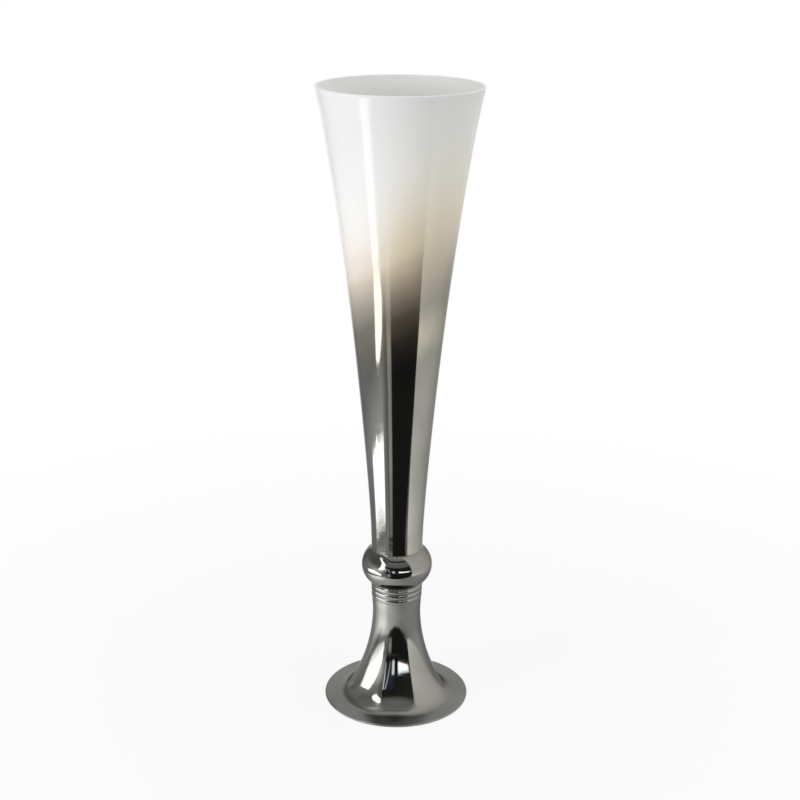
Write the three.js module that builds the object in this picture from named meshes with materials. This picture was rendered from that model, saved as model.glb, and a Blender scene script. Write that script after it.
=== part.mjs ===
// A tall hourglass vase of silvered glass. A trumpet bowl stands on a hollow knop, and a ringed collar
// sleeves the joint between the knop and a flared foot. The four glass pieces are turned forms, ground flat
// where they meet and bonded there.
// Sizes are in millimetres, +Z is up, and the origin is the centre of the circle that the foot rests on.
import * as THREE from "three";

const vaseHeight = 800; // from the floor to the lip

// Foot: a flat brim, a bell and a neck in one piece, open underneath
const brimRadius = 94.1;
const brimEdge = 3; // thickness at the rounded edge
const brimRise = 1; // how much higher the brim's top is where the bell starts
const bellRadius = 70; // where the bell leaves the brim
const bellLean = 18; // how far the bell first runs inwards
const bellClimb = 17.5; // and how far it climbs on that run
const bellFillet = 5; // how far the soft corner between brim and bell reaches each way
const bellWall = 4;
const neckRadius = 31.05;
const neckHeight = 124; // of the narrowest place
const neckReach = 52; // how far below it the neck already runs upright
const neckWall = 7;
const neckTopRadius = 31.5;
const footHeight = 134; // to the ground ring that the collar sits on

// Spigots: the tubes of the foot and the knop that meet inside the collar
const spigotRadius = 28;
const footSpigot = 13; // length above the ground ring
const slipFit = 0.3; // radial clearance of everything that slides into a bore or a recess

// Collar: three soft beads over a sleeve, the widest on top
const collarHeight = 29.6;
const collarBaseRadius = 31.7;
const grooveRadius = 31.9;
const beadRadii = [32.6, 32.9, 33.3];
const firstBead = 11.4; // height of the lowest bead's crest
const beadPitch = 7.1;
const beadHalfWidth = 3.2;
const collarTopRadius = 32.3;

// Knop: a hollow ball whose round side is an arc about a circle inside it
const knopRadius = 45.5;
const knopArcRadius = 28;
const knopWall = 6; // at the widest place
const knopEndWall = 5.5; // above and below the hollow
const knopBore = 18; // radius of the hole in its top

// Bowl: a slender trumpet with a solid stub that centres it in the knop
const bowlBaseRadius = 32.9;
const baseReach = 50; // how far the wall first runs upright
const waistRadius = 56.2;
const waistHeight = 289.4; // above the knop
const waistSlope = 0.11; // radius gained per millimetre of height
const waistReach = 92;
const rimRadius = 100.6;
const rimSlope = 0.24;
const rimReach = 58;
const lipWall = 3;
const stemWall = 4; // low in the trumpet, where the glass is thicker
const wellFloor = 12; // glass under the water
const wellRound = 12; // radius in the bottom corner of the well
const stubLength = 14;
const silverEnd = 225; // the silver turns smoky above this height of the bowl
const whiteStart = 430; // and is hidden by opal white from here up

// Adhesive beds
const bowlBedDepth = 0.8;
const bowlBedRadius = 29.5;
const stemBed = 1; // between the two spigots
const collarBedDepth = 0.6;
const collarBedInner = 29.2;
const collarBedOuter = 31.2;

// How finely the pieces are turned
const sides = 40;
const roundSteps = 4;

const silvered = { color: 0x9d9c98, roughness: 0.06, metalness: 1 };
const ombre = { color: 0xffffff, roughness: 0.08, metalness: 0.3, vertexColors: true };
const bondLook = { color: 0xd8d6cc, roughness: 0.35, metalness: 0 };

const at = (radius, height) => new THREE.Vector2(radius, height);

// Points of a cubic curve from start to end, leaving along one pull and arriving along the other
function sweep(start, startPull, endPull, end, steps) {
  const curve = new THREE.CubicBezierCurve(start, start.clone().add(startPull), end.clone().sub(endPull), end);
  return curve.getPoints(steps);
}

// Points of an elliptical arc, angles counted from straight out, anticlockwise
function arc(centre, radiusAcross, radiusUp, from, to, steps) {
  const clockwise = to < from;
  return new THREE.EllipseCurve(centre.x, centre.y, radiusAcross, radiusUp, from, to, clockwise).getPoints(steps);
}

// Points that round a corner, starting and ending a reach away from it
function softCorner(before, corner, after, reach, steps) {
  const start = corner.clone().add(before.clone().sub(corner).setLength(reach));
  const end = corner.clone().add(after.clone().sub(corner).setLength(reach));
  return new THREE.QuadraticBezierCurve(start, corner, end).getPoints(steps);
}

// Height above the centre at which an ellipse reaches a radius
function ellipseRise(offset, radiusAcross, radiusUp) {
  return radiusUp * Math.sqrt(1 - (offset / radiusAcross) ** 2);
}

// Drops each point that repeats the one before it
function distinct(points) {
  return points.filter((p, i) => i === 0 || p.distanceTo(points[i - 1]) > 1e-4);
}

// A piece turned from an outline of radius against height, which runs up the outside and down the inside
function turned(name, outline, look) {
  const points = distinct(outline);
  const onAxis = points[0].x === 0 && points[points.length - 1].x === 0;
  const loop = onAxis ? points : [...points, points[0].clone()];
  const geometry = new THREE.LatheGeometry(loop, sides);
  geometry.rotateX(Math.PI / 2);
  const mesh = new THREE.Mesh(geometry, new THREE.MeshStandardMaterial(look));
  mesh.name = name;
  return mesh;
}

// A flat ring of adhesive
function bed(name, inner, outer, thickness) {
  const outline = [at(inner, 0), at(outer, 0), at(outer, thickness), at(inner, thickness)];
  return turned(name, outline, bondLook);
}

// Colours a turned piece by height, from silver through smoky amber to white
function tintByHeight(geometry, low, high) {
  const silver = new THREE.Color(silvered.color);
  const smoke = new THREE.Color(0x7d6a52);
  const white = new THREE.Color(0xf0eeea);
  const place = geometry.getAttribute("position");
  const colors = [];
  for (let i = 0; i < place.count; i += 1) {
    const share = THREE.MathUtils.clamp((place.getZ(i) - low) / (high - low), 0, 1);
    const shade = share < 0.5
      ? silver.clone().lerp(smoke, share * 2)
      : smoke.clone().lerp(white, share * 2 - 1);
    colors.push(...shade.toArray());
  }
  geometry.setAttribute("color", new THREE.Float32BufferAttribute(colors, 3));
}

const spigotBore = neckRadius - neckWall;

function foot() {
  const edge = brimEdge / 2;
  const bellFirstRun = at(-bellLean, bellClimb);
  const bellStart = at(bellRadius, brimEdge + brimRise);
  const corner = softCorner(at(brimRadius - edge, brimEdge), bellStart,
    bellStart.clone().add(bellFirstRun), bellFillet, 3);
  const cornerTop = corner[corner.length - 1].y;
  const bell = sweep(bellStart, bellFirstRun, at(0, neckReach), at(neckRadius, neckHeight), 14);
  const outside = [
    ...arc(at(brimRadius - edge, edge), edge, edge, -Math.PI / 2, Math.PI / 2, roundSteps),
    ...corner,
    ...bell.filter((p) => p.y > cornerTop + 1),
    at(neckTopRadius, footHeight),
    at(spigotRadius, footHeight),
    at(spigotRadius, footHeight + footSpigot),
    at(spigotBore, footHeight + footSpigot),
  ];
  const inside = sweep(at(bellRadius - bellWall, 0), bellFirstRun, at(0, neckReach),
    at(spigotBore, neckHeight), 10);
  return turned("foot", [...outside, ...inside.reverse()], silvered);
}

function ringCollar() {
  const beads = beadRadii.flatMap((radius, i) => {
    const crest = firstBead + i * beadPitch;
    return arc(at(grooveRadius, crest), radius - grooveRadius, beadHalfWidth, -Math.PI / 2, Math.PI / 2, 6);
  });
  const outline = [
    at(spigotRadius + slipFit, 0),
    at(collarBaseRadius, 0),
    ...beads,
    at(collarTopRadius, collarHeight),
    at(collarBedOuter, collarHeight),
    at(collarBedOuter, collarHeight - collarBedDepth),
    at(collarBedInner, collarHeight - collarBedDepth),
    at(collarBedInner, collarHeight),
    at(spigotRadius + slipFit, collarHeight),
  ];
  return turned("ring_collar", outline, silvered);
}

const arcCentre = knopRadius - knopArcRadius;
const knopMiddle = ellipseRise(collarTopRadius - arcCentre, knopArcRadius, knopArcRadius);
const knopHeight = knopMiddle + ellipseRise(bowlBaseRadius - arcCentre, knopArcRadius, knopArcRadius);
const knopSpigot = collarHeight - footSpigot - stemBed;

// The knop's own zero is the ground face that sits on the collar
function knop() {
  const centre = at(arcCentre, knopMiddle);
  const hollowAcross = knopArcRadius - knopWall;
  const hollowUp = Math.min(knopMiddle, knopHeight - knopMiddle) - knopEndWall;
  const outerStart = -Math.acos((collarTopRadius - arcCentre) / knopArcRadius);
  const outerEnd = Math.acos((bowlBaseRadius - arcCentre) / knopArcRadius);
  const innerStart = Math.acos((knopBore - arcCentre) / hollowAcross);
  const innerEnd = -Math.acos((spigotBore - arcCentre) / hollowAcross);
  const outline = [
    at(spigotBore, -knopSpigot),
    at(spigotRadius, -knopSpigot),
    at(spigotRadius, 0),
    ...arc(centre, knopArcRadius, knopArcRadius, outerStart, outerEnd, 14),
    at(bowlBedRadius, knopHeight),
    at(bowlBedRadius, knopHeight - bowlBedDepth),
    at(knopBore, knopHeight - bowlBedDepth),
    ...arc(centre, hollowAcross, hollowUp, innerStart, innerEnd, 10),
  ];
  return turned("knop", outline, silvered);
}

const collarTop = footHeight + collarHeight;
const knopTop = collarTop + knopHeight;

// The bowl's own zero is the ground face that sits on the knop
function bowl() {
  const bowlHeight = vaseHeight - knopTop;
  const lipRound = lipWall / 2;
  const lipHeight = bowlHeight - lipRound;
  const basePull = at(0, baseReach);
  const waistPull = at(waistSlope * waistReach, waistReach);
  const rimPull = at(rimSlope * rimReach, rimReach);
  const wall = (stemInset, lipInset, stemSteps, mouthSteps) => [
    ...sweep(at(bowlBaseRadius - stemInset, 0), basePull, waistPull,
      at(waistRadius - lipInset, waistHeight), stemSteps),
    ...sweep(at(waistRadius - lipInset, waistHeight), waistPull, rimPull,
      at(rimRadius - lipInset, lipHeight), mouthSteps),
  ];
  const lip = arc(at(rimRadius - lipRound, lipHeight), lipRound, lipRound, 0, Math.PI, 6);
  const water = wall(stemWall, lipWall, 10, 8).filter((p) => p.y > wellFloor + wellRound).reverse();
  const wellRadius = water[water.length - 1].x;
  const wellCorner = at(wellRadius - wellRound, wellFloor + wellRound);
  const outline = [
    at(0, -stubLength),
    at(knopBore - slipFit, -stubLength),
    at(knopBore - slipFit, 0),
    ...wall(0, 0, 12, 8),
    ...lip,
    ...water,
    ...arc(wellCorner, wellRound, wellRound, 0, -Math.PI / 2, roundSteps),
    at(0, wellFloor),
  ];
  const piece = turned("trumpet_bowl", outline, ombre);
  tintByHeight(piece.geometry, silverEnd, whiteStart);
  return piece;
}

const vase = new THREE.Group();
const stemBedHeight = footHeight + footSpigot;

function place(piece, height) {
  piece.position.z = height;
  vase.add(piece);
}

place(foot(), 0);
place(ringCollar(), footHeight);
place(bed("stem_bond", spigotBore, spigotRadius, stemBed), stemBedHeight);
place(bed("collar_bond", collarBedInner + slipFit, collarBedOuter - slipFit, collarBedDepth), collarTop - collarBedDepth);
place(knop(), collarTop);
place(bed("bowl_bond", knopBore, bowlBedRadius - slipFit, bowlBedDepth), knopTop - bowlBedDepth);
place(bowl(), knopTop);

export default vase;
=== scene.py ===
"""A tall hourglass vase of silvered glass, white at the mouth and mirror silver from the waist down.

The four glass pieces are turned again on the CAD model's own joint heights and radii, finely enough
for a mirror finish, and rims of adhesive are added where they meet. Everything is in metres, +Z is up
and azimuths are counted from the camera's side towards +X.
"""
import math

import bpy
from mathutils import Matrix, Vector


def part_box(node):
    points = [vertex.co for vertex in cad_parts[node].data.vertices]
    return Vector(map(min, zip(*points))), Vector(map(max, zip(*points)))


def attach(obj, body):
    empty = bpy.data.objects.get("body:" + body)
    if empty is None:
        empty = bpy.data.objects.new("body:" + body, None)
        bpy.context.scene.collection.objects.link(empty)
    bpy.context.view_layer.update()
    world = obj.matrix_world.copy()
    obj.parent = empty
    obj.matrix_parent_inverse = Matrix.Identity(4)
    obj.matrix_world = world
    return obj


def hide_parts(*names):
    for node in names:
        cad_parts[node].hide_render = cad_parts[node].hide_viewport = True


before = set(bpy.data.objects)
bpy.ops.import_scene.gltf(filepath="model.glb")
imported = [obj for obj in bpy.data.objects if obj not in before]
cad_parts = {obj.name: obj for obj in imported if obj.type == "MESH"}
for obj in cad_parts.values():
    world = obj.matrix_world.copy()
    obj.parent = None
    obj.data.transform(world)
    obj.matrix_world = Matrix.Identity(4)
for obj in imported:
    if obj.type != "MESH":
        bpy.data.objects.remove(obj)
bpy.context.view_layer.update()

# Heights and radii that the CAD model gives
BASE_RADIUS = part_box("foot")[1].x
SPIGOT_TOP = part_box("foot")[1].z
COLLAR_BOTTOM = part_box("ring_collar")[0].z
COLLAR_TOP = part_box("ring_collar")[1].z
KNOP_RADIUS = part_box("knop")[1].x
KNOP_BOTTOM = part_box("knop")[0].z
KNOP_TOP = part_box("knop")[1].z
RIM_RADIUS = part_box("trumpet_bowl")[1].x
STUB_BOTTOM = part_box("trumpet_bowl")[0].z
LIP_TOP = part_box("trumpet_bowl")[1].z

# Foot
BRIM_EDGE = 0.003
BRIM_RISE = 0.001
BELL_RADIUS = 0.070
BELL_RUN = Vector((-0.018, 0.0175))
BELL_WALL = 0.004
BELL_FILLET = 0.0075
NECK_RADIUS = 0.03105
NECK_HEIGHT = 0.124
NECK_REACH = 0.052
NECK_TOP_RADIUS = 0.0315
SPIGOT_RADIUS = 0.028
SPIGOT_BORE = 0.02405
SLIP_FIT = 0.0003

# Collar
COLLAR_BASE_RADIUS = 0.0317
GROOVE_RADIUS = 0.0319
BEAD_RADII = (0.0326, 0.0329, 0.0333)
FIRST_BEAD = 0.0114
BEAD_PITCH = 0.0071
BEAD_HALF_WIDTH = 0.0032
COLLAR_TOP_RADIUS = 0.0323
COLLAR_BED = (0.0292, 0.0312, 0.0006)

# Knop
KNOP_ARC_RADIUS = 0.028
KNOP_WALL = 0.006
KNOP_END_WALL = 0.0055
KNOP_BORE = 0.018
BOWL_BED = (0.0295, 0.0008)

# Bowl
BOWL_BASE_RADIUS = 0.0329
BASE_REACH = 0.050
WAIST_RADIUS = 0.0562
WAIST_HEIGHT = 0.2894
WAIST_PULL = Vector((0.01012, 0.092))
RIM_PULL = Vector((0.01392, 0.058))
LIP_WALL = 0.003
STEM_WALL = 0.004
WELL_FLOOR = 0.012
WELL_ROUND = 0.012

# How finely the pieces are turned
TURNS = 192
EDGE_STEPS = 14  # round the brim's edge and the lip
FILLET_STEPS = 10
BELL_STEPS, BELL_INNER_STEPS = 72, 48
BEAD_STEPS = 20
BALL_STEPS, HOLLOW_STEPS = 64, 32
WALL_STEPS, WATER_STEPS, WELL_STEPS = 64, 40, 12
SQUEEZE_STEPS = 16
SHARP_ANGLE = 32  # in degrees, from which an edge stays sharp
SAME_POINT = 1e-6

# Rims of squeezed-out adhesive: how far their middle stands outside the joint, half width and half height
SQUEEZE_OUT = 0.0001
SQUEEZE_SIZE = (0.0008, 0.0007)


# Outlines: Vectors of radius and height
def sweep(start, start_pull, end_pull, end, steps):
    """Points of a cubic curve that leaves along one pull and arrives along the other."""
    near, far = start + start_pull, end - end_pull
    points = []
    for i in range(steps + 1):
        t = i / steps
        points.append(start * (1 - t) ** 3 + near * 3 * t * (1 - t) ** 2
                      + far * 3 * t * t * (1 - t) + end * t ** 3)
    return points


def arc(centre, across, up, start, end, steps):
    """Points of an elliptical arc, in degrees from straight out, anticlockwise."""
    angles = [math.radians(start + (end - start) * i / steps) for i in range(steps + 1)]
    return [Vector((centre.x + across * math.cos(a), centre.y + up * math.sin(a))) for a in angles]


def turned(name, outline):
    """A piece turned about Z from a closed outline, or from one that starts and ends on the axis."""
    points = [p for i, p in enumerate(outline) if i == 0 or (p - outline[i - 1]).length > SAME_POINT]
    on_axis = points[0].x == 0 and points[-1].x == 0
    verts, rings = [], []
    for p in points:
        start = len(verts)
        if p.x == 0:
            verts.append((0, 0, p.y))
            rings.append([start] * TURNS)
            continue
        for k in range(TURNS):
            a = 2 * math.pi * k / TURNS
            verts.append((p.x * math.cos(a), p.x * math.sin(a), p.y))
        rings.append(list(range(start, start + TURNS)))
    pairs = list(zip(rings, rings[1:]))
    if not on_axis:
        pairs.append((rings[-1], rings[0]))
    faces = []
    for low, high in pairs:
        for k in range(TURNS):
            m = (k + 1) % TURNS
            corners = [low[k], low[m], high[m], high[k]]
            faces.append(list(dict.fromkeys(corners)))
    mesh = bpy.data.meshes.new(name)
    mesh.from_pydata(verts, [], faces)
    mesh.validate()
    mesh.shade_smooth()
    mesh.set_sharp_from_angle(angle=math.radians(SHARP_ANGLE))
    piece = bpy.data.objects.new(name, mesh)
    bpy.context.scene.collection.objects.link(piece)
    return piece


def squeezed_rim(name, radius, height):
    """A thin rim of adhesive squeezed out of a joint."""
    middle = Vector((radius + SQUEEZE_OUT, height))
    return turned(name, arc(middle, *SQUEEZE_SIZE, 0, 360, SQUEEZE_STEPS)[:-1])


def foot_outline():
    """The brim, a fillet tangent to it and to the bell, the neck, the spigot, and the hollow below."""
    edge = BRIM_EDGE / 2
    straight = Vector((0, NECK_REACH))
    bell_start = Vector((BELL_RADIUS, BRIM_EDGE + BRIM_RISE))
    outside = sweep(bell_start, BELL_RUN, straight, Vector((NECK_RADIUS, NECK_HEIGHT)), BELL_STEPS)
    inside = sweep(Vector((BELL_RADIUS - BELL_WALL, 0)), BELL_RUN, straight,
                   Vector((SPIGOT_BORE, NECK_HEIGHT)), BELL_INNER_STEPS)
    start = next(i for i, p in enumerate(outside) if (p - bell_start).length > BELL_FILLET)
    climb = (outside[start + 1] - outside[start - 1]).normalized()
    brim_way = (bell_start - Vector((BASE_RADIUS - edge, BRIM_EDGE))).normalized()
    higher = outside[start:]
    corner = higher[0] - climb * ((higher[0] - bell_start).cross(brim_way) / climb.cross(brim_way))
    before = corner - brim_way * (higher[0] - corner).length
    fillet = [before * (1 - t) ** 2 + corner * 2 * t * (1 - t) + higher[0] * t * t
              for t in (i / FILLET_STEPS for i in range(FILLET_STEPS))]
    rim = arc(Vector((BASE_RADIUS - edge, edge)), edge, edge, -90, 90, EDGE_STEPS)
    top = [Vector((NECK_TOP_RADIUS, COLLAR_BOTTOM)), Vector((SPIGOT_RADIUS, COLLAR_BOTTOM)),
           Vector((SPIGOT_RADIUS, SPIGOT_TOP)), Vector((SPIGOT_BORE, SPIGOT_TOP))]
    return rim + fillet + higher + top + inside[::-1]


def collar_outline():
    bore = SPIGOT_RADIUS + SLIP_FIT
    bed_inner, bed_outer, bed_depth = COLLAR_BED
    points = [Vector((bore, COLLAR_BOTTOM)), Vector((COLLAR_BASE_RADIUS, COLLAR_BOTTOM))]
    for i, radius in enumerate(BEAD_RADII):
        crest = Vector((GROOVE_RADIUS, COLLAR_BOTTOM + FIRST_BEAD + i * BEAD_PITCH))
        points += arc(crest, radius - GROOVE_RADIUS, BEAD_HALF_WIDTH, -90, 90, BEAD_STEPS)
    return points + [
        Vector((COLLAR_TOP_RADIUS, COLLAR_TOP)), Vector((bed_outer, COLLAR_TOP)),
        Vector((bed_outer, COLLAR_TOP - bed_depth)), Vector((bed_inner, COLLAR_TOP - bed_depth)),
        Vector((bed_inner, COLLAR_TOP)), Vector((bore, COLLAR_TOP))]


def knop_outline():
    reach = KNOP_RADIUS - KNOP_ARC_RADIUS
    low_angle = math.acos((COLLAR_TOP_RADIUS - reach) / KNOP_ARC_RADIUS)
    high_angle = math.acos((BOWL_BASE_RADIUS - reach) / KNOP_ARC_RADIUS)
    below, above = KNOP_ARC_RADIUS * math.sin(low_angle), KNOP_ARC_RADIUS * math.sin(high_angle)
    centre = Vector((reach, COLLAR_TOP + below))
    hollow = KNOP_ARC_RADIUS - KNOP_WALL
    hollow_up = min(below, above) - KNOP_END_WALL
    bed_radius, bed_depth = BOWL_BED
    outside = arc(centre, KNOP_ARC_RADIUS, KNOP_ARC_RADIUS,
                  -math.degrees(low_angle), math.degrees(high_angle), BALL_STEPS)
    inside = arc(centre, hollow, hollow_up, math.degrees(math.acos((KNOP_BORE - reach) / hollow)),
                 -math.degrees(math.acos((SPIGOT_BORE - reach) / hollow)), HOLLOW_STEPS)
    return [Vector((SPIGOT_BORE, KNOP_BOTTOM)), Vector((SPIGOT_RADIUS, KNOP_BOTTOM)),
            Vector((SPIGOT_RADIUS, COLLAR_TOP)), *outside, Vector((bed_radius, KNOP_TOP)),
            Vector((bed_radius, KNOP_TOP - bed_depth)), Vector((KNOP_BORE, KNOP_TOP - bed_depth)), *inside]


def bowl_outline():
    lip_round = LIP_WALL / 2
    lip_height = LIP_TOP - lip_round

    def wall(stem_inset, lip_inset, steps):
        waist = Vector((WAIST_RADIUS - lip_inset, KNOP_TOP + WAIST_HEIGHT))
        return (sweep(Vector((BOWL_BASE_RADIUS - stem_inset, KNOP_TOP)), Vector((0, BASE_REACH)),
                      WAIST_PULL, waist, steps)
                + sweep(waist, WAIST_PULL, RIM_PULL, Vector((RIM_RADIUS - lip_inset, lip_height)), steps))

    lip = arc(Vector((RIM_RADIUS - lip_round, lip_height)), lip_round, lip_round, 0, 180, EDGE_STEPS)
    water = [p for p in wall(STEM_WALL, LIP_WALL, WATER_STEPS)
             if p.y > KNOP_TOP + WELL_FLOOR + WELL_ROUND]
    corner = Vector((water[0].x - WELL_ROUND, KNOP_TOP + WELL_FLOOR + WELL_ROUND))
    stub = KNOP_BORE - SLIP_FIT
    return [Vector((0, STUB_BOTTOM)), Vector((stub, STUB_BOTTOM)), Vector((stub, KNOP_TOP)),
            *wall(0, 0, WALL_STEPS), *lip, *water[::-1],
            *arc(corner, WELL_ROUND, WELL_ROUND, 0, -90, WELL_STEPS),
            Vector((0, KNOP_TOP + WELL_FLOOR))]


# Materials
SILVER = (0.25, 0.246, 0.235)
CLOUD = (0.84, 0.87, 0.83)  # tint of the thin places in the silver
DENSE = 1.08  # brightness of its dense places
DENSE_STEM = 1.04  # and of those on the bowl
TARNISH_SPAN = (0.35, 0.65)  # the noise values between which one turns into the other
STEM_SPAN = (0.30, 0.62)
SILVER_EDGE = (0.5, 0.5, 0.5, 1)  # tint of the reflection at a grazing view
OMBRE_EDGE = (0.6, 0.6, 0.6, 1)
BRIM_WEAR = 0.22  # how much duller the brim is than the bell
WEAR_FADE = (0.009, 0.016)  # the heights over which that wears off
POLISH_SPREAD = 0.06
WAVE_DEPTH = 0.0005
RIPPLE_SHARE = 0.08
ADHESIVE_TONES = ((0.62, 0.60, 0.54), (0.80, 0.79, 0.74))
SQUEEZE_TONES = (SILVER, (0.35, 0.34, 0.32))
ADHESIVE_SPAN = (0.3, 0.7)

# Noise patterns: scale, detail and the stretch of the coordinates along each axis
TARNISH = (14.0, 3.0)
STEM_CLOUDS = (22.0, 4.0, (1, 1, 0.6))
SMEAR = (35.0, 5.0, (1, 1, 2.5))
SWELL = (9.0, 1.0, (1, 1, 0.8))
RIPPLE = (60.0, 2.0, (1, 1, 1.6))
DRIFT = (12.0, 3.0, (1, 1, 0.5))
ADHESIVE_GRAIN = (180.0, 3.0)
ADHESIVE_SHEEN = (90.0,)


def new_material(name):
    material = bpy.data.materials.new(name)
    material.use_nodes = True
    return material, material.node_tree.nodes, material.node_tree.links


def noise_node(nodes, links, vector, scale, detail=2.0, stretch=(1, 1, 1)):
    """Noise over the piece's own coordinates, stretched along an axis by a factor below 1."""
    mapping = nodes.new("ShaderNodeMapping")
    mapping.inputs["Scale"].default_value = stretch
    links.new(vector, mapping.inputs["Vector"])
    noise = nodes.new("ShaderNodeTexNoise")
    noise.inputs["Scale"].default_value = scale
    noise.inputs["Detail"].default_value = detail
    links.new(mapping.outputs["Vector"], noise.inputs["Vector"])
    return noise.outputs["Fac"]


def spread(nodes, links, value, low, high, from_low=0.3, from_high=0.7):
    """Rescales a value, by default a noise's, to the range low to high."""
    node = nodes.new("ShaderNodeMapRange")
    node.inputs["From Min"].default_value = from_low
    node.inputs["From Max"].default_value = from_high
    node.inputs["To Min"].default_value = low
    node.inputs["To Max"].default_value = high
    links.new(value, node.inputs["Value"])
    return node.outputs["Result"]


def math_node(nodes, links, operation, *values):
    """The result of an operation on sockets and numbers."""
    node = nodes.new("ShaderNodeMath")
    node.operation = operation
    for socket, value in zip(node.inputs, values):
        if isinstance(value, float):
            socket.default_value = value
        else:
            links.new(value, socket)
    return node.outputs["Value"]


def colour_mix(nodes, links, factor, first, second, blend="MIX"):
    node = nodes.new("ShaderNodeMix")
    node.data_type = "RGBA"
    node.blend_type = blend
    for socket, value in (("Factor", factor), ("A", first), ("B", second)):
        links.new(value, node.inputs[socket])
    return node.outputs["Result"]


def two_tone(nodes, links, value, low, high, span):
    """A colour that turns from low to high over a span of the value."""
    node = nodes.new("ShaderNodeValToRGB")
    for element, position, colour in zip(node.color_ramp.elements, span, (low, high)):
        element.position = position
        element.color = (*colour, 1)
    links.new(value, node.inputs["Fac"])
    return node.outputs["Color"]


def polish(nodes, links, vector, roughness):
    """The roughness of wiped glass, a little higher in its smears."""
    smear = noise_node(nodes, links, vector, *SMEAR)
    return spread(nodes, links, smear, roughness, roughness + POLISH_SPREAD)


def waviness(nodes, links, vector, shader):
    """The soft unevenness of blown glass, drawn out round the piece, as a bump."""
    mix = nodes.new("ShaderNodeMix")
    mix.inputs["Factor"].default_value = RIPPLE_SHARE
    links.new(noise_node(nodes, links, vector, *SWELL), mix.inputs["A"])
    links.new(noise_node(nodes, links, vector, *RIPPLE), mix.inputs["B"])
    bump = nodes.new("ShaderNodeBump")
    bump.inputs["Strength"].default_value = 1.0
    bump.inputs["Distance"].default_value = WAVE_DEPTH
    links.new(mix.outputs["Result"], bump.inputs["Height"])
    links.new(bump.outputs["Normal"], shader.inputs["Normal"])


def silvered_glass(name, roughness):
    """Mirror silver, duller on the brim, which is wiped and handled most."""
    material, nodes, links = new_material(name)
    shader = nodes["Principled BSDF"]
    where = nodes.new("ShaderNodeTexCoord").outputs["Object"]
    shader.inputs["Metallic"].default_value = 1.0
    shader.inputs["Specular Tint"].default_value = SILVER_EDGE
    thin = [c * t for c, t in zip(SILVER, CLOUD)]
    dense = [c * DENSE for c in SILVER]
    tone = two_tone(nodes, links, noise_node(nodes, links, where, *TARNISH), thin, dense, TARNISH_SPAN)
    links.new(tone, shader.inputs["Base Color"])
    split = nodes.new("ShaderNodeSeparateXYZ")
    links.new(where, split.inputs["Vector"])
    wear = spread(nodes, links, split.outputs["Z"], BRIM_WEAR, 0, *WEAR_FADE)
    total = math_node(nodes, links, "ADD", polish(nodes, links, where, roughness), wear)
    links.new(total, shader.inputs["Roughness"])
    waviness(nodes, links, where, shader)
    return material


# The fade, as heights of the band on the axis: how silver turns to umber, amber, cream and white
FADE_LOW, FADE_HIGH = 0.46, 0.80
FADE_TILT = 0.534  # the band slopes up towards +X
FADE_EASE = 2.1  # and levels off there
WARM_REFLECTION_SIDE = (-0.028, 0.004)  # where the colours turn from the left's to the middle's, whose warmer amber is painted reflection
PALE_REFLECTION_SIDE = (0.019, 0.027)  # and where they turn to the right's, greyer again, also painted reflection
FADE_DRIFT = 0.006  # how far the band wanders up and down
# Colours for the left, the middle and the right of the vase. Where they differ across it, that is painted
# reflection and light: the middle browner, the left paler
LEFT_COLOURS = (
    (0.475, SILVER),
    (0.515, (0.31, 0.285, 0.24)),
    (0.550, (0.35, 0.32, 0.285)),
    (0.600, (0.69, 0.62, 0.52)),
    (0.640, (0.87, 0.825, 0.75)),
    (0.700, (0.885, 0.88, 0.86)),
    (0.790, (0.83, 0.83, 0.83)),
)
MIDDLE_COLOURS = (
    (0.460, SILVER),
    (0.495, (0.40, 0.34, 0.25)),
    (0.542, (0.345, 0.29, 0.22)),
    (0.600, (0.69, 0.58, 0.43)),
    (0.640, (0.84, 0.755, 0.605)),
    (0.700, (0.885, 0.865, 0.81)),
    (0.790, (0.83, 0.825, 0.82)),
)
RIGHT_COLOURS = (
    (0.460, (0.262, 0.262, 0.246)),
    (0.495, (0.385, 0.367, 0.315)),
    (0.542, (0.30, 0.285, 0.25)),
    (0.600, (0.655, 0.58, 0.455)),
    (0.640, (0.835, 0.765, 0.625)),
    (0.700, (0.88, 0.865, 0.79)),
    (0.790, (0.83, 0.825, 0.82)),
)
# and how much of it is bare silver
FADE_METAL = ((0.47, 1.0), (0.51, 0.91), (0.54, 0.64), (0.60, 0.12), (0.64, 0.03), (0.70, 0.0))
LINING_WHITE = (0.92, 0.92, 0.915)  # of the fade's last stop inside: white paint, whiter than outside as painted light inside the mouth


def ramp_node(nodes, links, share, stops):
    """A colour ramp over the fade whose stops are given as heights."""
    node = nodes.new("ShaderNodeValToRGB")
    links.new(share, node.inputs["Fac"])
    ramp = node.color_ramp
    ramp.interpolation = "CARDINAL"
    while len(ramp.elements) < len(stops):
        ramp.elements.new(0.5)
    for element, (height, value) in zip(ramp.elements, stops):
        element.position = (height - FADE_LOW) / (FADE_HIGH - FADE_LOW)
        colour = value if isinstance(value, tuple) else (value, value, value)
        element.color = (*colour, 1)
    return node.outputs["Color"]


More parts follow.
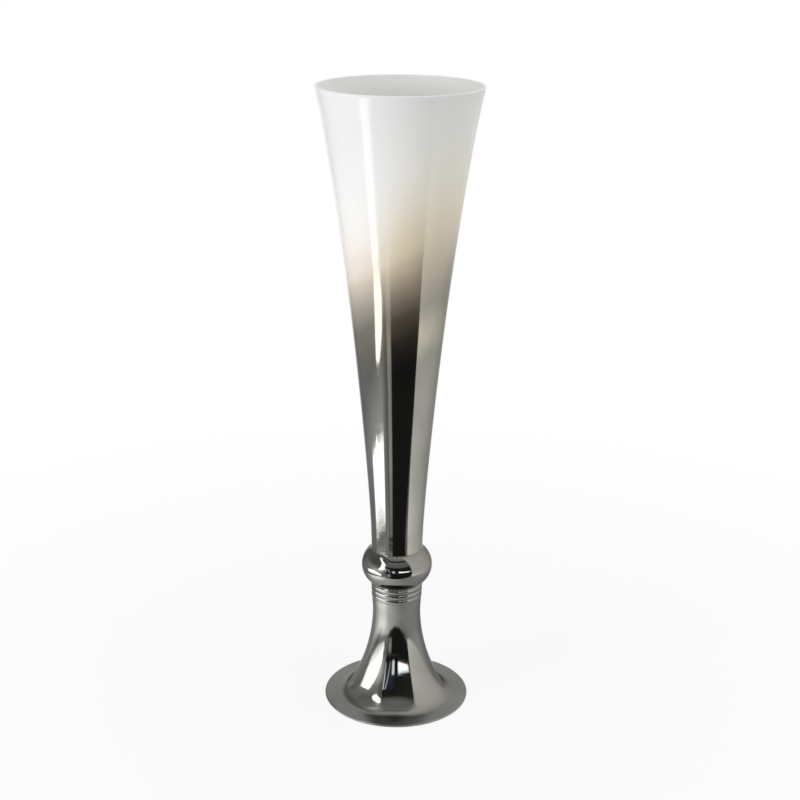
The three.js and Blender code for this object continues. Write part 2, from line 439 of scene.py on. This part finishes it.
def ombre_glass(name, roughness, white=None):
    """Silver that fades to white, its colours shifting across the vase as painted reflection and light.
    Inside, the paint itself is the surface and ends in a purer white, partly painted light.
    """
    material, nodes, links = new_material(name)
    shader = nodes["Principled BSDF"]
    where = nodes.new("ShaderNodeTexCoord").outputs["Object"]
    shader.inputs["Specular Tint"].default_value = OMBRE_EDGE
    split = nodes.new("ShaderNodeSeparateXYZ")
    links.new(where, split.inputs["Vector"])
    across, up = split.outputs["X"], split.outputs["Z"]
    slope = math_node(nodes, links, "MULTIPLY_ADD", across, FADE_EASE, -FADE_TILT)
    level = math_node(nodes, links, "MULTIPLY_ADD", across, slope, up)
    drift = spread(nodes, links, noise_node(nodes, links, where, *DRIFT), -FADE_DRIFT, FADE_DRIFT)
    uneven = math_node(nodes, links, "ADD", level, drift)
    share = spread(nodes, links, uneven, 0, 1, FADE_LOW, FADE_HIGH)
    left, middle, right = [
        ramp_node(nodes, links, share, stops[:-1] + ((stops[-1][0], white or stops[-1][1]),))
        for stops in (LEFT_COLOURS, MIDDLE_COLOURS, RIGHT_COLOURS)]
    metal = ramp_node(nodes, links, share, FADE_METAL)
    # The colours blend from left to middle to right across the vase: painted reflection and light
    colour = colour_mix(nodes, links, spread(nodes, links, across, 0, 1, *WARM_REFLECTION_SIDE), left, middle)
    colour = colour_mix(nodes, links, spread(nodes, links, across, 0, 1, *PALE_REFLECTION_SIDE), colour, right)
    clouds = two_tone(nodes, links, noise_node(nodes, links, where, *STEM_CLOUDS),
                      CLOUD, (DENSE_STEM,) * 3, STEM_SPAN)
    links.new(colour_mix(nodes, links, metal, colour, clouds, "MULTIPLY"), shader.inputs["Base Color"])
    links.new(metal, shader.inputs["Metallic"])
    links.new(polish(nodes, links, where, roughness), shader.inputs["Roughness"])
    waviness(nodes, links, where, shader)
    return material


def adhesive(name, metallic, tones, dullest):
    """Cured adhesive, under the silvering where it is squeezed out of a joint."""
    material, nodes, links = new_material(name)
    shader = nodes["Principled BSDF"]
    shader.inputs["Metallic"].default_value = metallic
    where = nodes.new("ShaderNodeTexCoord").outputs["Object"]
    grain = noise_node(nodes, links, where, *ADHESIVE_GRAIN)
    links.new(two_tone(nodes, links, grain, *tones, ADHESIVE_SPAN), shader.inputs["Base Color"])
    sheen = noise_node(nodes, links, where, *ADHESIVE_SHEEN)
    links.new(spread(nodes, links, sheen, dullest / 2, dullest), shader.inputs["Roughness"])
    return material


SILVERED = silvered_glass("silvered_glass", 0.03)
RINGED = silvered_glass("ringed_silvered_glass", 0.14)
ADHESIVE = adhesive("adhesive", 0, ADHESIVE_TONES, 0.4)
SQUEEZE = adhesive("squeezed_adhesive", 1, SQUEEZE_TONES, 0.06)
OMBRE = ombre_glass("ombre_glass", 0.03)
LINING = ombre_glass("ombre_lining", 0.5, LINING_WHITE)

# What counts as the inside of the bowl: faces that look inwards at least this much, or this nearly upwards
INWARD = 0.001
UPWARD = 0.9


def dress(piece, material, node=None):
    """Gives a piece its material and hides the CAD node that it stands in for, if any."""
    piece.data.materials.clear()
    piece.data.materials.append(material)
    if node:
        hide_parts(node)


def line_inside(glass):
    """Gives the inside of the bowl the lining."""
    glass.data.materials.append(LINING)
    for face in glass.data.polygons:
        towards = face.center.x * face.normal.x + face.center.y * face.normal.y
        inward = towards < -INWARD * face.center.xy.length
        if face.center.z > KNOP_TOP and (inward or face.normal.z > UPWARD):
            face.material_index = 1


for cad_name, outline, material, slot_name in (
        ("foot", foot_outline(), SILVERED, "silvered_glass"),
        ("ring_collar", collar_outline(), RINGED, "silvered_glass"),
        ("knop", knop_outline(), SILVERED, "silvered_glass"),
        ("trumpet_bowl", bowl_outline(), OMBRE, "ombre_glass")):
    glass = turned(cad_name + "_glass", outline)
    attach(glass, "root")
    dress(glass, material, cad_name)
    if cad_name == "trumpet_bowl":
        line_inside(glass)
for cad_name in ("bowl_bond", "collar_bond", "stem_bond"):
    dress(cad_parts[cad_name], ADHESIVE)
for rim_name, radius, height in (("bowl_fillet", BOWL_BASE_RADIUS, KNOP_TOP),
                                 ("collar_fillet", COLLAR_TOP_RADIUS, COLLAR_TOP)):
    rim = squeezed_rim(rim_name, radius, height)
    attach(rim, "root")
    dress(rim, SQUEEZE)


# Studio
def light_path(nodes, links):
    """1 for what the camera sees directly, in a reflection or through glass."""
    path = nodes.new("ShaderNodeLightPath")
    total = path.outputs["Is Camera Ray"]
    for ray in ("Is Glossy Ray", "Is Transmission Ray"):
        total = math_node(nodes, links, "ADD", total, path.outputs[ray])
        total.node.use_clamp = True
    return total


AMBIENT = 0.505  # the world's light on matt surfaces
world = bpy.data.worlds.new("studio")
world.use_nodes = True
world_nodes, world_links = world.node_tree.nodes, world.node_tree.links
strength = spread(world_nodes, world_links, light_path(world_nodes, world_links), AMBIENT, 1.0, 0, 1)
world_nodes["Background"].inputs["Color"].default_value = (1, 1, 1, 1)
world_links.new(strength, world_nodes["Background"].inputs["Strength"])
bpy.context.scene.world = world

FLOOR_RADIUS = 20.0
FLOOR_CORNERS = 96
FLOOR_COLOUR = (0.88, 0.88, 0.88, 1)
SHADOW_SHARE = 0.15  # how much of the light and shade the floor keeps
SHADOW_REACH = (0.3, 1.1)  # the distances from the vase over which that share dies away


def floor_material():
    """White that keeps a share of the light and shade that falls on it near the vase."""
    material, nodes, links = new_material("floor")
    nodes.remove(nodes["Principled BSDF"])
    diffuse = nodes.new("ShaderNodeBsdfDiffuse")
    diffuse.inputs["Color"].default_value = FLOOR_COLOUR
    glow = nodes.new("ShaderNodeEmission")
    where = nodes.new("ShaderNodeTexCoord").outputs["Object"]
    length = nodes.new("ShaderNodeVectorMath")
    length.operation = "LENGTH"
    links.new(where, length.inputs[0])
    even = spread(nodes, links, length.outputs["Value"], 1 - SHADOW_SHARE, 1.0, *SHADOW_REACH)
    share = math_node(nodes, links, "MULTIPLY", even, light_path(nodes, links))
    mix = nodes.new("ShaderNodeMixShader")
    links.new(share, mix.inputs["Fac"])
    links.new(diffuse.outputs["BSDF"], mix.inputs[1])
    links.new(glow.outputs["Emission"], mix.inputs[2])
    links.new(mix.outputs["Shader"], nodes["Material Output"].inputs["Surface"])
    return material


bpy.ops.mesh.primitive_circle_add(vertices=FLOOR_CORNERS, radius=FLOOR_RADIUS, fill_type="NGON")
floor = bpy.context.object
floor.name = "floor"
floor.data.materials.append(floor_material())

# Painted reflections: sheets that glow, light and dark, and show only in the silver's reflections, standing
# in for the room that the silver mirrors.
# Radii of its upright sheets, and heights of its level ones, which lie a little above each other so that
# none hides in another
FLAG_RADIUS = 0.080
RIGHT_RADIUS = 0.45
GLARE_RADIUS = 0.47
STRIP_RADIUS = 0.516
REAR_RADIUS = 0.54
LEFT_RADIUS = 1.3
WINDOW_RADIUS = 3.1
NIGHT_RADIUS = 3.15
ROOM_RADIUS = 3.2
PLINTH_LEVEL = 0.001
CRESCENT_LEVEL = 0.0015
FLOOR_LEVEL = 0.002
BAND_LEVEL = 0.003
LEFT_LEVEL = 0.0035
GLARE_LEVEL = 0.005
CARD_STEPS = 8  # how finely a sheet is curved between two corners
BLACK = 0.03  # glow of the black floor in the painted reflections: painted shade


def card_material(name, tint, inside_only=False):
    """Glows as its points say, and shows in reflections only: a painted reflection."""
    material, nodes, links = new_material(name)
    nodes.remove(nodes["Principled BSDF"])
    glow = nodes.new("ShaderNodeEmission")
    glow.inputs["Color"].default_value = (*tint, 1)
    level = nodes.new("ShaderNodeAttribute")
    level.attribute_name = "glow"
    links.new(level.outputs["Fac"], glow.inputs["Strength"])
    result = glow.outputs["Emission"]
    if inside_only:
        mix = nodes.new("ShaderNodeMixShader")
        links.new(nodes.new("ShaderNodeNewGeometry").outputs["Backfacing"], mix.inputs["Fac"])
        links.new(nodes.new("ShaderNodeBsdfTransparent").outputs["BSDF"], mix.inputs[1])
        links.new(result, mix.inputs[2])
        result = mix.outputs["Shader"]
    links.new(result, nodes["Material Output"].inputs["Surface"])
    return material


PLAIN = card_material("card", (1, 1, 1))
SKY = card_material("sky_card", (0.80, 0.95, 1.0))
DUSK = card_material("dusk_card", (0.90, 0.93, 1.0))
WARM = card_material("warm_card", (1.0, 0.97, 0.92))
NIGHT = card_material("night_card", (0.55, 0.66, 1.0))
INNER = card_material("inner_card", (1, 1, 1), inside_only=True)


def card(name, *rows, material=PLAIN):
    """A sheet round the vase through rows of corners, each row from left to right. A corner is an azimuth
    in degrees, a radius, a height and a glow. The sheet faces outwards."""
    verts, glows, faces = [], [], []
    for row in rows:
        corners = [row[0]]
        for left, right in zip(row, row[1:]):
            for step in range(1, CARD_STEPS + 1):
                corners.append([a + (b - a) * step / CARD_STEPS for a, b in zip(left, right)])
        for azimuth, radius, height, level in corners:
            turn = math.radians(azimuth)
            verts.append((radius * math.sin(turn), -radius * math.cos(turn), height))
            glows.append(level)
    width = len(verts) // len(rows)
    for start in range(0, len(verts) - width, width):
        for k in range(start, start + width - 1):
            faces.append((k, k + 1, k + width + 1, k + width))
    mesh = bpy.data.meshes.new(name)
    mesh.from_pydata(verts, [], faces)
    mesh.attributes.new("glow", "FLOAT", "POINT").data.foreach_set("value", glows)
    mesh.materials.append(material)
    sheet = bpy.data.objects.new(name, mesh)
    bpy.context.scene.collection.objects.link(sheet)
    for kind in ("camera", "diffuse", "transmission", "shadow", "volume_scatter"):
        setattr(sheet, "visible_" + kind, False)


def board(name, radius, azimuths, *levels, material=PLAIN):
    """An upright card. Each level is a height and the glow there at each of the azimuths."""
    card(name, *[[(azimuth, radius, height, glow) for azimuth, glow in zip(azimuths, glows)]
                 for height, *glows in levels], material=material)


def ground(name, height, azimuths, *rings):
    """A level card. Each ring is a radius and the glow there at each of the azimuths."""
    card(name, *[[(azimuth, radius, height, glow) for azimuth, glow in zip(azimuths, glows)]
                 for radius, *glows in rings])


def soft_row(azimuths, radius, heights, glow, edge):
    """Four corners whose glow falls off at both ends."""
    return list(zip(azimuths, (radius,) * 4, heights, (edge, glow, glow, edge)))


# The plinth that the vase stands on: pale, with a crescent of light towards its left edge
ground("plinth_top", PLINTH_LEVEL, (-150, -38, 20, 95, 150),
       (0.10, 0.80, 1.20, 0.72, 0.60, 0.70),
       (0.29, 0.80, 1.50, 0.66, 0.72, 0.62),
       (0.34, 0.80, 1.60, 0.60, 0.88, 0.70),
       (0.45, 0.70, 0.40, 0.44, 0.90, 0.80))
ground("crescent", CRESCENT_LEVEL, (-125, -105, -80, -58, -36),
       (0.20, 0.86, 1.05, 1.50, 1.65, 1.25),
       (0.31, 0.45, 1.40, 3.10, 3.30, 1.60),
       (0.37, 0.36, 0.50, 0.40, 2.40, 1.70),
       (0.42, 0.45, 0.40, 0.35, 0.50, 1.00))

# The black floor in front of the plinth. The plinth's edge is straight there, given as azimuths and radii.
# Each row of the sheet lies at a multiple of those radii, and has a glow at the left and one in front
PLINTH_CORNER = ((-48, 0.460, 1.0), (-38, 0.420, 0.8))  # with the share of the left glow that each gets
PLINTH_EDGE = ((-26, 0.360), (-9, 0.322), (10, 0.328), (25, 0.372), (37, 0.430), (52, 0.500))
card("front_floor", *[
    [(azimuth, radius * out, FLOOR_LEVEL, left * part) for azimuth, radius, part in PLINTH_CORNER]
    + [(azimuth, radius * out, FLOOR_LEVEL, front) for azimuth, radius in PLINTH_EDGE]
    for out, left, front in ((1.0, 1.20, 0.60), (1.035, 0.35, BLACK), (9.0, 0.30, BLACK))])

# Pale bands to its left and a grey corner to its right
ground("left_band", BAND_LEVEL, (-48, -41, -34),
       (0.45, 0.45, 0.62, 0.90),
       (0.50, 0.50, 0.52, 0.60),
       (0.56, 0.55, 0.50, 0.48),
       (0.82, 0.85, 0.55, 0.28),
       (0.98, 0.35, 0.38, 0.30),
       (3.30, 0.48, 0.45, 0.15))
ground("right_band", BAND_LEVEL, (-34, -31, -28.5, -20, -18),
       (0.45, 0.22, 0.25, 0.60, 0.45, BLACK),
       (0.62, 0.30, 0.35, 1.00, 0.80, BLACK),
       (0.85, 0.30, 0.30, 0.75, 0.65, BLACK),
       (1.10, 0.15, 0.20, 0.70, 0.65, BLACK),
       (1.40, 0.12, 0.12, 0.20, 0.20, BLACK),
       (3.30, 0.12, 0.12, 0.20, 0.20, BLACK))
CORNER_FADE, CORNER_END = 5, 48  # the width of its soft left edge, and the azimuth of its right end
CORNER_GAIN = 1.2  # how much brighter it is there
card("right_floor", *[
    [(azimuth, radius, BAND_LEVEL, BLACK), (azimuth + CORNER_FADE, radius, BAND_LEVEL, glow),
     (CORNER_END, radius, BAND_LEVEL, glow * CORNER_GAIN)]
    for azimuth, radius, glow in ((28, 0.37, 0.45), (34, 0.45, 0.40), (40, 0.57, 0.25), (42, 0.75, 0.04))])

# The floor and the wall on the left
ground("left_floor", LEFT_LEVEL, (-150, -88, -48),
       (0.45, 0.50, 0.45, 0.50),
       (0.75, 0.62, 0.88, 1.00),
       (0.95, 0.56, 0.50, 0.50),
       (1.30, 0.50, 0.48, 0.48))
board("left_wall", LEFT_RADIUS, (-150, -88, -54, -38),
      (0.00, 0.28, 0.60, 0.85, 0.50),
      (0.20, 0.26, 0.80, 2.00, 0.60),
      (0.40, 0.30, 0.50, 0.60, 0.18),
      (0.65, 0.32, 0.22, 0.32, 0.28),
      (2.60, 0.24, 0.24, 0.24, 0.24))
board("left_wall_top", LEFT_RADIUS, (-150, -38), (2.6, 0.24, 0.24), (3.2, 0.90, 0.60), (5.0, 0.90, 0.60))

# The dark room behind the camera: a wall with a paler upper part, a dark gap and a lamp high above
FRONT = (-38, 0, 47)
board("dark_wall", ROOM_RADIUS, FRONT,
      (0.00, BLACK, BLACK, BLACK),
      (1.65, 0.05, 0.04, 0.06),
      (1.90, 0.30, 0.34, 0.20),
      (2.20, 0.45, 0.44, 0.32),
      (2.90, 0.40, 0.36, 0.36),
      (4.30, 0.58, 0.58, 0.54))
board("high_gap", ROOM_RADIUS, FRONT, (4.3, 0.12, 0.12, 0.12), (6.3, 0.12, 0.12, 0.12))
board("high_lamp", ROOM_RADIUS, FRONT, (6.3, 0.55, 0.55, 0.55), (14, 0.55, 0.55, 0.55))

# The windows of that room, which are low. The rows of the wide one give its height at the left and at the
# right, its glow and the glow of its edges
WIDE_WINDOW = (5, 8.5, 38, 44)
for window_name, light, rows in (
        ("window", PLAIN, ((0.22, 0.24, 3, 0.6), (0.28, 0.29, 5, 1), (0.50, 0.38, 5, 1))),
        ("window_top", SKY, ((0.50, 0.38, 4.4, 1), (0.66, 0.49, 2.8, 0.6)))):
    card(window_name, *[soft_row(WIDE_WINDOW, WINDOW_RADIUS, (left, left, right, right), glow, edge)
                        for left, right, glow, edge in rows], material=light)
board("side_window", WINDOW_RADIUS, (-15, -13, -7, -5),
      (0.18, 0.1, 2.6, 2.8, 0.1), (0.66, 0.1, 2.6, 2.8, 0.1), material=DUSK)
# The night outside, a faint blue behind the windows
board("night", NIGHT_RADIUS, (-41, -34, -16, -4),
      (0.25, 0.03, 0.05, 0.06, 0.05),
      (0.45, 0.03, 0.12, 0.16, 0.08),
      (1.00, 0.03, 0.12, 0.15, 0.06),
      (1.40, 0.03, 0.05, 0.05, 0.04), material=NIGHT)

# A far window seen aslant, as bright bars that lean towards its top left corner. Each has an azimuth at its
# foot and at its head, and a glow
BAR_EDGES = (-2.2, -0.4, 0.8, 2.6)
BAR_EDGE_GLOW = 0.15
for number, (low, high, level) in enumerate(((-35.5, -37.0, 2.6), (-20.5, -31.0, 1.6))):
    card("far_window_" + str(number), *[
        soft_row([azimuth + edge for edge in BAR_EDGES], WINDOW_RADIUS, (height,) * 4,
                 level * dim, BAR_EDGE_GLOW)
        for azimuth, height, dim in ((low, 0.20, 0.5), ((low + high) / 2, 0.70, 1.0), (high, 1.20, 0.9))],
         material=DUSK)

# On the left a strip light, given by its left and right edge, height and glow
STRIP_FADE = 2.2
STRIP_EDGE_GLOW = 0.5
card("strip", *[
    soft_row((left - STRIP_FADE, left + STRIP_FADE / 2, right - STRIP_FADE / 2, right + STRIP_FADE),
             STRIP_RADIUS, (height,) * 4, glow, STRIP_EDGE_GLOW)
    for left, right, height, glow in (
        (-59, -51, 0.219, 0.6), (-59.5, -50, 0.231, 5), (-58.5, -45, 0.250, 5), (-57, -40, 0.275, 5),
        (-55, -38, 0.31, 5), (-53, -40, 0.345, 5), (-53.5, -41.5, 0.39, 6), (-55, -42, 0.55, 6),
        (-87, -69, 0.76, 3.6), (-91, -75, 0.90, 2.4))])

# A patch of glare, streaky low down: the azimuth, height and glow of its top, and the shares of both below
GLARE_TOP = ((-104, 0.070, 0.6), (-97, 0.085, 5), (-88, 0.112, 5),
             (-74, 0.143, 5), (-61, 0.118, 5), (-50, 0.076, 5))
GLARE_STREAKS = ((0.00, 0.35), (0.07, 0.6), (0.11, 0.35), (0.16, 0.85), (0.21, 0.55), (0.28, 1), (1, 1))
GLARE_EDGE_GLOW = 0.6
card("glare", *[[(azimuth, GLARE_RADIUS, top * share, glow * dim) for azimuth, top, glow in GLARE_TOP]
                for share, dim in GLARE_STREAKS])
card("glare_floor", *[
    soft_row((-104, -97, right - 3, right + 1), radius, (GLARE_LEVEL,) * 4, glow, GLARE_EDGE_GLOW)
    for right, radius, glow in ((-50, 0.475, 5), (-48.5, 0.58, 5), (-47.5, 0.685, 5), (-47, 0.72, 1.0))])

# A small grey sheet close to the foot, glowing only on its inner side and seen only in reflections: painted
# shade that hides the strip light in the foot's reflection
FLAG_GLOW = 0.38
FLAG_AZIMUTHS = (-62, -40, -28, -15)
FLAG_HEIGHTS = ((0.005,) * 4, (0.0265, 0.0285, 0.0275, 0.0290))
card("painted_foot_shade", *[[(azimuth, FLAG_RADIUS, height, FLAG_GLOW) for azimuth, height in zip(FLAG_AZIMUTHS, heights)]
               for heights in FLAG_HEIGHTS], material=INNER)

# On the right one pale board that turns the corner to the back, where a second one closes the room. The
# rows of its upper part give the azimuth and the height of its left edge, and its glow there and beside it
SIDE_AZIMUTH, REAR_AZIMUTH = 90, 160
REAR_GLOW = 0.80
board("right_board", RIGHT_RADIUS, (46, SIDE_AZIMUTH, REAR_AZIMUTH),
      (0.00, 1.90, 1.30, REAR_GLOW),
      (0.05, 1.75, 1.25, REAR_GLOW),
      (0.10, 1.55, 1.20, REAR_GLOW), material=WARM)
card("right_board_top", *[
    [(azimuth, RIGHT_RADIUS, height, left), (SIDE_AZIMUTH, RIGHT_RADIUS, height, middle),
     (REAR_AZIMUTH, RIGHT_RADIUS, height, REAR_GLOW)]
    for azimuth, height, left, middle in (
        (46, 0.10, 1.55, 1.20), (48, 0.19, 1.26, 1.12), (48.8, 0.30, 1.30, 1.12),
        (48, 0.37, 1.30, 1.12), (47.3, 0.45, 1.30, 1.12), (50, 1.30, 1.30, 1.12))], material=WARM)
board("rear_board", REAR_RADIUS, (REAR_AZIMUTH, 210),
      (0, 1.30, 1.30), (0.13, 1.15, 1.15), (0.25, 0.78, 0.78), (1.3, 0.76, 0.76))

# Lamps
LAMP_SIZE = 1.2
LAMP_AIM = (0, 0, 0.5)


def area_light(name, place, power):
    """A square lamp that mirrors don't show."""
    data = bpy.data.lights.new(name, "AREA")
    data.shape = "RECTANGLE"
    data.size = data.size_y = LAMP_SIZE
    data.energy = power
    lamp = bpy.data.objects.new(name, data)
    lamp.location = place
    lamp.rotation_euler = (Vector(LAMP_AIM) - Vector(place)).to_track_quat("-Z", "Y").to_euler()
    lamp.visible_glossy = False
    bpy.context.scene.collection.objects.link(lamp)


area_light("key", (-2.0, -1.2, 0.85), 26.3)
area_light("front", (1.6, -1.3, 1.1), 3.8)
area_light("top", (0.45, 0.1, 2.1), 8.2)

# Camera, fitted to the ellipses of the lip and the brim: millimetres for the lens, degrees for its turns
LENS = 69.77
SENSOR_WIDTH = 36
PITCH = 71.14
ROLL = 0.44
CAMERA_PLACE = (0.0024, -1.834, 1.037)
camera_data = bpy.data.cameras.new("camera")
camera_data.sensor_width = SENSOR_WIDTH
camera_data.lens = LENS
camera = bpy.data.objects.new("camera", camera_data)
camera.matrix_world = (Matrix.Translation(CAMERA_PLACE)
                       @ Matrix.Rotation(math.radians(PITCH), 4, "X")
                       @ Matrix.Rotation(math.radians(ROLL), 4, "Z"))
bpy.context.scene.collection.objects.link(camera)
bpy.context.scene.camera = camera
bpy.context.scene.view_settings.view_transform = "Standard"
